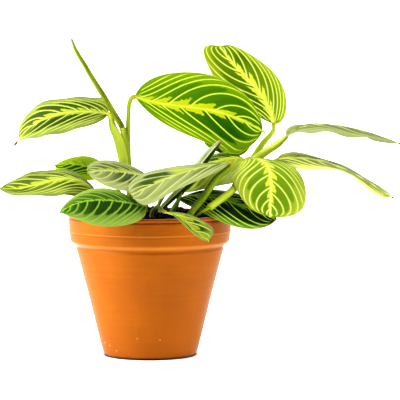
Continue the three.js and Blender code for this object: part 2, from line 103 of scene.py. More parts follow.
class Finish:
    """A material with its shader, and the nodes that it is drawn with."""

    def __init__(self, name, roughness, specular=0.5):
        self.material = bpy.data.materials.new(name)
        self.material.use_nodes = True
        self.tree = self.material.node_tree
        self.shader = self.tree.nodes["Principled BSDF"]
        self.shader.inputs["Roughness"].default_value = roughness
        self.shader.inputs["Specular IOR Level"].default_value = specular

    def wire(self, kind, inputs=(), **settings):
        """Adds a node; its inputs are numbers, colours or the outputs of other nodes."""
        node = self.tree.nodes.new(kind)
        for setting, value in settings.items():
            setattr(node, setting, value)
        for place, value in dict(inputs).items():
            socket = node.inputs[place]
            if isinstance(value, bpy.types.NodeSocket):
                self.tree.links.new(value, socket)
            elif socket.type == "RGBA" and len(value) == 3:
                socket.default_value = (*value, 1.0)
            else:
                socket.default_value = value
        return node

    def drive(self, place, value):
        self.tree.links.new(value, self.shader.inputs[place])

    def spot(self):
        """Each point's own place, in metres in the frame."""
        return self.wire("ShaderNodeTexCoord").outputs["Object"]

    def stored(self, name):
        """The three numbers that each point of a mesh keeps under a name."""
        kept = self.wire("ShaderNodeAttribute", attribute_name=name).outputs["Vector"]
        return self.wire("ShaderNodeSeparateXYZ", {0: kept}).outputs

    def math(self, kind, *values, clamp=False):
        inputs = dict(enumerate(values))
        return self.wire("ShaderNodeMath", inputs, operation=kind, use_clamp=clamp).outputs[0]

    def times(self, first, second, clamp=False):
        return self.math("MULTIPLY", first, second, clamp=clamp)

    def tint(self, share, first, second):
        """The first colour at a share of 0, the second at 1."""
        return self.wire(
            "ShaderNodeMix", {0: share, 6: first, 7: second}, data_type="RGBA"
        ).outputs[2]

    def scaled(self, value, low, high, new_low=0.0, new_high=1.0, **settings):
        inputs = {
            "Value": value, "From Min": low, "From Max": high, "To Min": new_low, "To Max": new_high
        }
        return self.wire("ShaderNodeMapRange", inputs, **settings).outputs["Result"]

    def step(self, value, low, high):
        """0 below low, 1 above high, smooth between."""
        return self.scaled(value, low, high, interpolation_type="SMOOTHSTEP")

    def grain(self, where, scale, detail=3.0, stretch=(1, 1, 1)):
        """Noise from 0 to 1, about 0.5 in the middle; scale is in grains per metre."""
        spread = self.wire("ShaderNodeMapping", {"Vector": where, "Scale": stretch})
        return self.wire(
            "ShaderNodeTexNoise",
            {"Vector": spread.outputs[0], "Scale": scale, "Detail": detail, "Roughness": 0.6},
        ).outputs["Fac"]

    def streaks(self, across, along):
        """Noise drawn out along a blade, from the two coordinates that it runs in."""
        spot = self.wire("ShaderNodeCombineXYZ", {0: across, 1: along}).outputs[0]
        return self.grain(spot, 1.0, 3.0)

    def relief(self, height, depth):
        """Fine bumps of the surface, with their depth in metres."""
        bump = self.wire("ShaderNodeBump", {"Height": height, "Distance": depth, "Strength": 1.0})
        self.drive("Normal", bump.outputs[0])


table = Finish("pale table", 0.9, 0.1)
table_grain = table.wire("ShaderNodeTexNoise", {"Scale": 4.0, "Detail": 2.0})
table_tint = table.tint(table_grain.outputs["Fac"], (0.97, 0.97, 0.97), (1.0, 1.0, 1.0))
table_spot = table.spot()
from_foot = table.wire(
    "ShaderNodeVectorMath", {0: table_spot, 1: tuple(POT_AXIS)}, operation="DISTANCE"
).outputs["Value"]
# A painted shadow darkens the table under the foot of the pot, and the table is unshaded further
# out. The table glows as painted light, more towards the wall.
unshaded_share = table.scaled(from_foot, 0.0358, 0.0385)
table.drive("Base Color", table.tint(unshaded_share, (0.06, 0.03, 0.015), table_tint))
table.shader.inputs["Emission Color"].default_value = (1, 1, 1, 1)
table_depth = table.wire("ShaderNodeSeparateXYZ", {0: table_spot}).outputs["Y"]
table_glow = table.scaled(table_depth, 0.0, 2.6, 0.2, 1.1)
table.drive("Emission Strength", table.times(table_glow, unshaded_share))


def add_backdrop():
    """A sheet that lies as the table and bends up behind as the wall."""
    flat_to, bend_radius = 2.6, 0.8
    bend = [(-4.0, 0.0), (flat_to, 0.0)]
    for angle in np.linspace(0.1, 1.5, 12):
        out, rise = bend_radius * math.sin(angle), bend_radius - bend_radius * math.cos(angle)
        bend.append((flat_to + out, rise))
    bend += [(3.4, 4.0)]
    points = [(x, y, z) for y, z in bend for x in (-5.0, 5.0)]
    faces = [(i, i + 1, i + 3, i + 2) for i in range(0, len(points) - 2, 2)]
    mesh = bpy.data.meshes.new("table_and_wall")
    mesh.from_pydata(points, [], faces)
    mesh.polygons.foreach_set("use_smooth", [True] * len(faces))
    backdrop = bpy.data.objects.new("table_and_wall", mesh)
    mesh.materials.append(table.material)
    bpy.context.collection.objects.link(backdrop)


add_backdrop()

# ---- clay pot ----
# A thrown and fired clay pot, 13 cm across the collar, with two turned grooves in the collar,
# a rounded foot and one drain hole. The clay is bare, with faint turning lines and lime specks.
POT_HEIGHT = 112.6
RIM_RADIUS = 65.0
RIM_DEPTH = 21.2
RIM_BOTTOM = POT_HEIGHT - RIM_DEPTH
NECK_RADIUS = 55.9
NECK_HEIGHT = RIM_BOTTOM - 4.7
FOOT_RADIUS = 37.3
WALL = 5.3
FLOOR = 6.5
DRAIN_RADIUS = 6.0
INNER_RIM_RADIUS = RIM_RADIUS - WALL
POT_SECTION = [
    (DRAIN_RADIUS, 0), (FOOT_RADIUS - 3.2, 0), (FOOT_RADIUS - 0.9, 0.8), (FOOT_RADIUS, 2.6),
    (FOOT_RADIUS + 0.5, 4.2), (FOOT_RADIUS + 2.3, 10.3), (48.6, 47.0),
    (NECK_RADIUS + 2.2, NECK_HEIGHT - 3.2), (NECK_RADIUS + 2.5, NECK_HEIGHT - 1.8),
    (NECK_RADIUS + 1.7, NECK_HEIGHT),
    (RIM_RADIUS - 3.6, RIM_BOTTOM - 1.8), (RIM_RADIUS - 1.8, RIM_BOTTOM + 0.2),
    (RIM_RADIUS - 1.1, POT_HEIGHT - 14.4), (RIM_RADIUS - 0.4, POT_HEIGHT - 13.5),
    (RIM_RADIUS - 0.8, POT_HEIGHT - 12.6), (RIM_RADIUS - 0.3, POT_HEIGHT - 4.3),
    (RIM_RADIUS - 1.3, POT_HEIGHT - 3.3), (RIM_RADIUS - 0.4, POT_HEIGHT - 2.5),
    (RIM_RADIUS, POT_HEIGHT - 1.2), (RIM_RADIUS - 0.9, POT_HEIGHT),
    (INNER_RIM_RADIUS + 0.9, POT_HEIGHT), (INNER_RIM_RADIUS, POT_HEIGHT - 0.9),
    (INNER_RIM_RADIUS - 1.2, RIM_BOTTOM + 4), (NECK_RADIUS + 0.7 - WALL, NECK_HEIGHT - 2),
    (FOOT_RADIUS - 1.8, FLOOR + 5), (FOOT_RADIUS - 4.8, FLOOR), (DRAIN_RADIUS, FLOOR),
]
POT_SECTORS = 180


def rounded(section, reach):
    """The closed section with every corner turned into a short arc."""
    corners = np.asarray(section, float)
    out = []
    for i, corner in enumerate(corners):
        before, after = corners[i - 1], corners[(i + 1) % len(corners)]
        legs = [before - corner, after - corner]
        lengths = [np.linalg.norm(leg) for leg in legs]
        cut = min(reach, *(0.45 * length for length in lengths))
        start, end = (corner + leg / length * cut for leg, length in zip(legs, lengths))
        for share in (0.0, 0.33, 0.67, 1.0):
            rest = 1 - share
            out.append(rest ** 2 * start + 2 * share * rest * corner + share ** 2 * end)
    return np.array(out)


def tube_faces(rings, around, flip=False, closed=False):
    """Quads between rings of points that run once round. Closed joins the last to the first."""
    faces = []
    for i in range(rings if closed else rings - 1):
        near, far = i * around, (i + 1) % rings * around
        for j in range(around):
            following = (j + 1) % around
            quad = (near + j, near + following, far + following, far + j)
            faces.append((quad[0], quad[3], quad[2], quad[1]) if flip else quad)
    return faces


def make_piece(name, points, faces, finishes, node, slot_name, kinds=None, **spots):
    """A shown piece: points in millimetres from the pot's foot, standing for a CAD node."""
    mesh = bpy.data.meshes.new(name)
    mesh.from_pydata(from_pot(points).tolist(), [], faces)
    for finish in finishes:
        mesh.materials.append(finish.material)
    mesh.polygons.foreach_set("use_smooth", [True] * len(faces))
    if kinds is not None:
        mesh.polygons.foreach_set("material_index", kinds)
    for kind, values in spots.items():
        spot = mesh.attributes.new(kind, "FLOAT_VECTOR", "POINT")
        spot.data.foreach_set("vector", np.asarray(values, np.float32).ravel())
    mesh.update()
    piece = bpy.data.objects.new(name, mesh)
    bpy.context.collection.objects.link(piece)
    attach(piece, "root")
    if node is not None:
        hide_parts(node)
    return piece


clay = Finish("bare fired clay", 0.62, 0.2)
clay.shader.inputs["Sheen Weight"].default_value = 0.5
clay.shader.inputs["Sheen Roughness"].default_value = 0.3
clay_spot = clay.spot()
clay_cloud = clay.grain(clay_spot, 22.0, 4.0)
clay_lines = clay.grain(clay_spot, 60.0, 4.0, (0.12, 0.12, 9.0))
clay_dust = clay.grain(clay_spot, 900.0, 2.0)
cloud_share = clay.step(clay_cloud, 0.3, 0.7)
clay_colour = clay.tint(cloud_share, (0.335, 0.1, 0.001), (0.385, 0.119, 0.0015))
line_share = clay.times(clay.step(clay_lines, 0.5, 0.8), 0.07)
clay_colour = clay.tint(line_share, clay_colour, (0.7, 0.27, 0.03))
dust_share = clay.times(clay.step(clay_dust, 0.5, 0.75), 0.25)
clay_colour = clay.tint(dust_share, clay_colour, (0.3, 0.065, 0.001))
clay_height = clay.wire("ShaderNodeSeparateXYZ", {0: clay_spot}).outputs["Z"]
lime_grains = clay.wire(
    "ShaderNodeTexVoronoi", {"Vector": clay_spot, "Scale": 190.0, "Randomness": 1.0}
).outputs["Distance"]
lime_spots = clay.times(
    clay.math("SUBTRACT", 1.0, clay.step(lime_grains, 0.11, 0.18)),
    clay.times(
        clay.step(clay_height, 0.022, 0.01),
        clay.step(clay.grain(clay_spot, 60.0, 1.0), 0.5, 0.55),
    ),
)
clay_colour = clay.tint(clay.times(lime_spots, 0.8), clay_colour, (0.85, 0.55, 0.2))
# Painted highlights make the ridge and the lower edge of the collar pale, and painted shade darkens
# the two grooves, the top of the lip and the foot.
for middle, spread, share, tint in (
    (RIM_BOTTOM - 1.8, 2.2, 0.26, (0.8, 0.38, 0.09)),
    (POT_HEIGHT - 13.4, 0.6, 0.35, (0.75, 0.32, 0.05)),
    (POT_HEIGHT - 15.0, 0.9, 0.25, (0.2, 0.045, 0.001)),
    (POT_HEIGHT - 3.3, 0.8, 0.75, (0.14, 0.02, 0.001)),
    (POT_HEIGHT - 0.6, 0.7, 0.6, (0.16, 0.025, 0.001)),
    (0.0, 2.4, 0.8, (0.1, 0.02, 0.001)),
):
    off = clay.math("ABSOLUTE", clay.math("SUBTRACT", clay_height, middle * MM))
    band = clay.times(clay.step(off, spread * MM, 0.2 * spread * MM), share)
    clay_colour = clay.tint(band, clay_colour, tint)
clay.drive("Base Color", clay_colour)
clay.drive("Roughness", clay.scaled(clay_cloud, 0.0, 1.0, 0.5, 0.75))
clay.relief(clay.math("ADD", clay_lines, clay.times(clay_dust, 0.3)), 0.00035)


def add_pot():
    section = rounded(POT_SECTION, 0.8)
    turn = np.linspace(0, math.tau, POT_SECTORS, endpoint=False)
    radius, height = section[:, 0][:, None], section[:, 1][:, None]
    points = np.stack(
        [radius * np.cos(turn), radius * np.sin(turn), height + 0 * turn], axis=-1
    ).reshape(-1, 3)
    faces = tube_faces(len(section), POT_SECTORS, closed=True)
    make_piece("clay_pot", points, faces, [clay], "pot", "clay")


add_pot()

# ---- soil ----
# Moist potting soil, heaped towards the middle. Loose crumbs lie on it, with a few grains of
# white perlite. The stalks go down into it.
SOIL_EDGE_HEIGHT = 108.5
SOIL_HEAP = 6.0
SOIL_RADIUS = 58.9
SOIL_RINGS = 60
SOIL_SECTORS = 200
# Radius and height of the hidden side and floor of the soil.
SOIL_BELOW = [(57.5, 95.0), (50.5, 84.0), (35.0, 11.5), (32.0, 7.0), (0.5, 7.0)]
draw = np.random.default_rng(7)

soil = Finish("moist potting soil", 0.9, 0.2)
soil_spot = soil.spot()
soil_lumps = soil.grain(soil_spot, 350.0, 6.0)
soil_colour = soil.tint(
    soil.step(soil_lumps, 0.4, 0.75),
    (0.012, 0.009, 0.008), (0.075, 0.045, 0.03),
)
soil.drive("Base Color", soil_colour)
soil.relief(soil_lumps, 0.0015)

perlite = Finish("white perlite", 0.85, 0.2)
perlite_spot = perlite.spot()
perlite_pores = perlite.grain(perlite_spot, 1200.0, 3.0)
perlite.drive("Base Color", perlite.tint(perlite_pores, (0.55, 0.53, 0.5), (0.85, 0.84, 0.8)))
perlite.relief(perlite_pores, 0.0004)


def soil_height(share, angle):
    """Height of the heaped surface at a share of the radius and an angle round the pot."""
    heap = SOIL_HEAP * (1 - share ** 2.4)
    waves = 0.7 * np.sin(5 * angle + 9 * share) + 0.5 * np.sin(11 * angle - 14 * share + 1)
    level = np.clip(4 * (1 - share), 0, 1) * np.clip(3 * share, 0, 1)
    return SOIL_EDGE_HEIGHT + heap + waves * level


def add_soil():
    share = np.linspace(0.01, 1, SOIL_RINGS)[:, None]
    angle = np.linspace(0, math.tau, SOIL_SECTORS, endpoint=False)[None, :]
    rough = draw.normal(0, 0.28, (SOIL_RINGS, SOIL_SECTORS)) * (1 - share ** 8)
    height = soil_height(share, angle) + rough
    levels = [(SOIL_RADIUS * share + 0 * angle, height)]
    levels += [(low_radius, low_height + 0 * angle) for low_radius, low_height in SOIL_BELOW]
    points = np.concatenate([
        np.stack([radius * np.cos(angle), radius * np.sin(angle), level], axis=-1)
        for radius, level in levels
    ]).reshape(-1, 3)
    count = len(points) // SOIL_SECTORS
    faces = tube_faces(count, SOIL_SECTORS, flip=True)
    faces.append(tuple(range(SOIL_SECTORS)))
    faces.append(tuple(reversed(range((count - 1) * SOIL_SECTORS, count * SOIL_SECTORS))))
    make_piece("soil_bed", points, faces, [soil], "soil", "soil")


ICO = (1 + math.sqrt(5)) / 2
LUMP_PLANE = [(a, b * ICO, 0) for b in (1, -1) for a in (-1, 1)]
LUMP_CORNERS = np.concatenate([np.roll(LUMP_PLANE, turn, axis=1) for turn in range(3)])
LUMP_CORNERS = LUMP_CORNERS / math.hypot(1, ICO)
LUMP_FACES = [
    (0, 11, 5), (0, 5, 1), (0, 1, 7), (0, 7, 10), (0, 10, 11), (1, 5, 9), (5, 11, 4),
    (11, 10, 2), (10, 7, 6), (7, 1, 8), (3, 9, 4), (3, 4, 2), (3, 2, 6), (3, 6, 8), (3, 8, 9),
    (4, 9, 5), (2, 4, 11), (6, 2, 10), (8, 6, 7), (9, 8, 1),
]


def add_lumps(name, count, smallest, largest, finish, reach):
    """Loose grains scattered on the soil, more of them small than large."""
    points, faces = [], []
    for _ in range(count):
        share, angle = math.sqrt(draw.uniform(0, reach ** 2)), draw.uniform(0, math.tau)
        size = smallest + (largest - smallest) * draw.uniform() ** 3
        lump = LUMP_CORNERS * size * draw.uniform(0.6, 1.25, 3) * draw.uniform(0.8, 1.2, (12, 1))
        middle = np.array([
            SOIL_RADIUS * share * math.cos(angle), SOIL_RADIUS * share * math.sin(angle),
            soil_height(share, angle) + 0.25 * size,
        ])
        faces += [tuple(len(points) + k for k in face) for face in LUMP_FACES]
        points.extend(lump + middle)
    make_piece(name, points, faces, [finish], None, "soil")


add_soil()
add_lumps("soil_crumbs", 2600, 0.45, 2.3, soil, 0.97)
add_lumps("perlite_grains", 60, 0.4, 1.3, perlite, 0.95)

# ---- stalks ----
# Fleshy green leaf stalks, each rising out of the soil from the shoot it grew from, with a
# shallow channel down its upper side and a slightly swollen joint below the leaf.
STALK_SIDES = 16
CHANNEL_DEPTH = 0.18
JOINT_LENGTH = 2.5
JOINT_SWELL = 0.25


def unit(vectors):
    return vectors / np.linalg.norm(vectors, axis=-1, keepdims=True)


def smooth_line(points, steps):
    """Evenly spaced places on the centripetal spline that passes through the points."""
    p = np.asarray(points, float)
    p = np.vstack([2 * p[0] - p[1], p, 2 * p[-1] - p[-2]])
    fine = []
    for i in range(1, len(p) - 2):
        a, b, c, d = p[i - 1:i + 3]
        gaps = [np.linalg.norm(y - x) ** 0.5 for x, y in ((a, b), (b, c), (c, d))]
        ka, kb, kc, kd = np.cumsum([0.0] + gaps)
        k = np.linspace(kb, kc, 30)[:, None]
        ab = ((kb - k) * a + (k - ka) * b) / (kb - ka)
        bc = ((kc - k) * b + (k - kb) * c) / (kc - kb)
        cd = ((kd - k) * c + (k - kc) * d) / (kd - kc)
        abc = ((kc - k) * ab + (k - ka) * bc) / (kc - ka)
        bcd = ((kd - k) * bc + (k - kb) * cd) / (kd - kb)
        fine.append(((kc - k) * abc + (k - kb) * bcd) / (kc - kb))
    fine = np.vstack(fine)
    length = np.concatenate([[0], np.cumsum(np.linalg.norm(np.diff(fine, axis=0), axis=1))])
    even = np.linspace(0, length[-1], steps + 1)
    return np.stack([np.interp(even, length, fine[:, axis]) for axis in range(3)], axis=1)


def frames_along(line, up):
    """Sideways and upward directions along a line, carried on without twist."""
    tangent = unit(np.gradient(line, axis=0))
    upward = []
    carried = np.asarray(up, float)
    for direction in tangent:
        carried = carried - carried @ direction * direction
        carried /= np.linalg.norm(carried)
        upward.append(carried)
    upward = np.array(upward)
    return np.cross(upward, tangent), upward


def stalk_body(path, radii, tone, joint, first):
    """Rings round a stalk from foot to end: its points, faces and where each point lies."""
    steps = max(16, 8 * (len(path) - 1))
    line = smooth_line(path, steps)
    along = np.linspace(0, 1, steps + 1)
    radius = np.interp(along, np.linspace(0, 1, len(radii)), radii)
    radius = radius * (1 + joint * np.exp(-((1 - along) / 0.12) ** 2))
    side, upward = frames_along(line, (0, 0, 1))
    turn = np.linspace(0, math.tau, STALK_SIDES, endpoint=False)
    from_top = (turn + math.pi) % math.tau - math.pi
    groove = 1 - CHANNEL_DEPTH * np.exp(-(from_top / 0.55) ** 2)
    rings = (
        line[:, None]
        + upward[:, None] * (radius[:, None] * np.cos(turn) * groove)[..., None]
        + side[:, None] * (radius[:, None] * np.sin(turn))[..., None]
    )
    points = [*rings.reshape(-1, 3), line[0], line[-1] + (line[-1] - line[-2]) * 0.3]
    brown_from = 1.0 if joint else 0.85
    place = [(a * brown_from, w, tone) for a in along for w in np.cos(turn)]
    place += [(0, 0, tone), (brown_from, 0, tone)]
    faces = tube_faces(steps + 1, STALK_SIDES)
    start, end, last = len(points) - 2, len(points) - 1, steps * STALK_SIDES
    for j in range(STALK_SIDES):
        following = (j + 1) % STALK_SIDES
        faces += [(start, following, j), (end, last + j, last + following)]
    return points, [tuple(first + k for k in face) for face in faces], place


def stalk_finish():
    """Green skin, pale above and dark below. The tone runs from 0, cream, over 0.1, lime, 0.25,
    yellow green, and 0.5, green, to 1, olive brown."""
    skin = Finish("stalk skin", 0.4, 0.12)
    along, upper, tone = skin.stored("place")
    streaks = skin.grain(skin.spot(), 700.0, 3.0, (1, 1, 0.08))
    ramp = skin.wire("ShaderNodeValToRGB", {0: tone})
    stops = ramp.color_ramp.elements
    stops[0].position, stops[0].color = 0.0, (0.72, 0.7, 0.36, 1)
    stops[1].position, stops[1].color = 1.0, (0.2, 0.15, 0.05, 1)
    for position, colour in (
        (0.1, (0.55, 0.63, 0.1)), (0.25, (0.36, 0.46, 0.01)), (0.5, (0.13, 0.27, 0.015)),
    ):
        stops.new(position).color = (*colour, 1)
    below = skin.times(skin.step(upper, 0.2, -0.8), 0.55)
    colour = skin.tint(below, ramp.outputs[0], (0.13, 0.2, 0.005))
    colour = skin.tint(skin.times(streaks, 0.4), colour, (0.46, 0.54, 0.05))
    browning = skin.times(skin.step(along, 0.9, 0.98), 0.6)
    colour = skin.tint(browning, colour, (0.42, 0.32, 0.04))
    skin.drive("Base Color", colour)
    skin.relief(streaks, 0.0002)
    return skin


stalk_skin = stalk_finish()
# For each stalk of a shoot: its path, its radii from foot to end, its tone and its leaf.
SHOOTS = {
    "shoot_left": [
        ([(-16, 12, 98), (-16, 12, 117), (-17, 12, 131), (-18, 12, 155), (-22, 11, 180)],
         (2.6, 2.8, 2.8, 2.7, 2.6), 0.16, None),
        ([(-16.7, 13, 141), (-17.4, 13, 167), (-17.4, 12, 188), (-16.5, 10, 199)],
         (2.1, 2.0, 1.6), 0.25, "big_top"),
        ([(-19, 11, 144), (-22.2, 10.5, 159), (-25.2, 10, 171), (-29.6, 11, 181)],
         (3.2, 4.2, 4.2, 3.3, 1.5), 0.13, "high_left"),
    ],
    "stalk_pale_left": [
        ([(-2, -8, 98), (-2.2, -8, 117), (-2, -8, 126), (0, -8, 136)],
         (1.2, 1.2, 1.0), 0.4, "pale_left"),
    ],
    "shoot_low_left": [
        ([(-19, -16, 98), (-19, -16, 117), (-29, -14, 121)], (2.2, 2.0, 1.3), 0.4, "far_left"),
        ([(-19, -16, 117), (-24, 4, 127), (-29, 22, 137)], (2.0, 1.3), 0.4, "back_left"),
        ([(-19, -16, 117), (-7, -36, 119)], (2.0, 1.3), 0.4, "rim_left"),
    ],
    "stalk_rim_front": [
        ([(2, -36, 98), (2, -36, 114), (3.5, -41, 118), (7, -49, 121.5)],
         (1.6, 1.5, 1.2), 0.75, "rim_front"),
    ],
    "shoot_centre": [
        ([(31, -43, 98), (31, -43, 112), (42, -36, 127), (53, -27, 142)],
         (2.4, 2.8, 3.0, 1.9), 0.36, "centre"),
    ],
    "shoot_front_right": [
        ([(36, -40, 98), (36, -40, 112), (48, -45, 121)], (1.4, 1.3, 1.3), 0.3, None),
        ([(47, -44.6, 120.3), (66, -30, 134), (76, -6, 147), (76.5, 1, 154)],
         (2.9, 3.0, 1.7), 0.2, "front_right"),
        ([(68, -28, 135), (88, 11, 142), (96, 11.5, 149)], (1.5, 1.1), 0.3, "low_right"),
        ([(68, -28, 135), (82, 6, 143), (82, 12, 150)], (1.5, 1.1), 0.3, "mid_right"),
    ],
    "shoot_right": [
        ([(52, 10, 98), (52, 10, 112), (57, 14, 119), (65, 20, 129), (74, 26, 144), (82, 28, 154)],
         (2.5, 2.6, 2.4, 2.2), 0.2, None),
        ([(80, 28, 151), (90.8, 34, 167), (98.8, 40, 176)], (2.9, 2.4, 1.4), 0.22, "top_right"),
        ([(80, 27, 151), (93.5, 22, 161.4), (101.6, 17, 166.9)],
         (3.7, 3.7, 3.5, 3.2, 1.3), 0.1, "far_right"),
        ([(72, 25, 140), (64, 29, 148)], (1.5, 1.1), 0.35, "back_mid"),
    ],
    "stalk_rim_right": [
        ([(21, -6, 98), (21, -6, 116), (22, -9, 121)], (1.6, 1.5, 1.2), 0.4, "rim_right"),
    ],
    "old_stub": [
        ([(6, -14, 98), (6, -14, 116), (8, -14, 122), (13, -14, 130)], (1.7, 1.7, 1.5), 0.7, None),
    ],
    "old_sheath": [
        ([(18, -29, 98), (18, -29, 115), (21, -30, 121), (26, -32, 131)],
         (2.6, 2.6, 2.3, 0.5), 0.55, None),
    ],
}

# ---- leaves ----
# Thin oval blades, quilted between sunken side veins, with a raised rib beneath and a small
# soft point, each grown on the end of its own stalk. A lime rib with toothed edges and lime
# veins run over green, with darker patches between them.
LEAF_ROWS = 110
LEAF_THICKNESS = 0.36
LEAST_HALF_WIDTH = 1.1
POINT_THICKNESS = 1.3
QUILT_HEIGHT = 0.5
RIB_GROOVE = 0.35
RIB_RIDGE = 0.75
RIGHT_VEINS_LAG = 0.45
PLAIN_SIDE = {"fold": 0.0, "curl": -10.0, "lean": 0.0, "share": 1.0}
